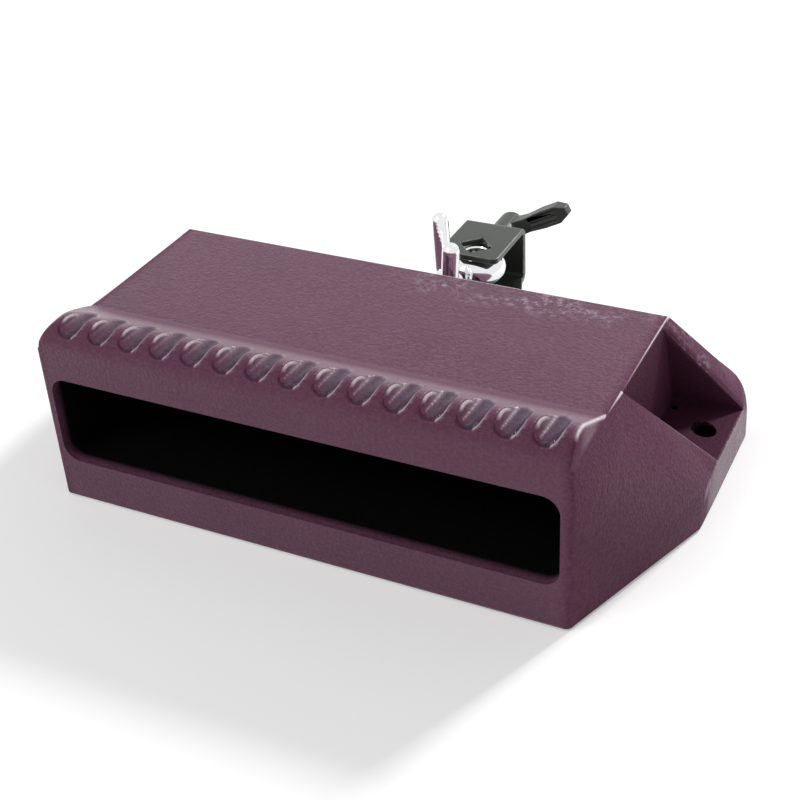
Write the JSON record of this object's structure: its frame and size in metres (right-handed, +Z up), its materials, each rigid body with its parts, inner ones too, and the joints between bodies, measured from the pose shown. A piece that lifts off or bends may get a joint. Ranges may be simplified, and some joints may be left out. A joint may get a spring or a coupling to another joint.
{
  "type": "woodblock with rod clamp",
  "caption": "Hollow moulded woodblock with a long front mouth, a notched rasp lip, hipped ears with screw holes, and a rear clamp with eye bolt, T-handle and wing bolt.",
  "frame": {"origin": "centre of the moulded body's flat underside", "axes": "+X along the block, +Y from the front mouth to the rear clamp, +Z up"},
  "size_m": [0.2504, 0.2023, 0.0739],
  "materials": {
    "moulded_plastic": "fine moulded grain",
    "brass": "machined",
    "painted_steel": "satin black",
    "chrome": "polished",
    "zinc_steel": "bright zinc",
    "black_plastic": "satin"
  },
  "bodies": {
    "block": {"block_body": "moulded_plastic", "ledge_insert": "brass", "clamp_bracket": "painted_steel", "handle_washer": "zinc_steel"},
    "handle": {"t_handle": "black_plastic", "handle_insert": "brass"},
    "eye": {"eye_bolt": "chrome"},
    "washer": {"bolt_washer": "zinc_steel"},
    "wing": {"wing_bolt": "chrome"}
  },
  "joints": [
    {"name": "handle_spin", "type": "hinge", "parent": "block", "child": "handle", "pos_m": [0, 0.1163, 0.0342], "axis": [0, 1, 0], "range_deg": [-226, 1441]},
    {"name": "eye_slide", "type": "slide", "parent": "block", "child": "eye", "axis": [0, 1, 0], "range_m": [-0.00508, 0.00079]},
    {"name": "wing_lift", "type": "slide", "parent": "block", "child": "washer", "axis": [0, 0, 1], "range_m": [0, 0.00508]},
    {"name": "wing_spin", "type": "hinge", "parent": "washer", "child": "wing", "pos_m": [0, 0.061, 0.0223], "axis": [0, 0, 1], "range_deg": [0, 1441]}
  ],
  "couplings": [
    {"joint": "handle_spin", "follows": "eye_slide", "rad_per_m": -4947.4},
    {"joint": "wing_spin", "follows": "wing_lift", "rad_per_m": 4947.4}
  ]
}
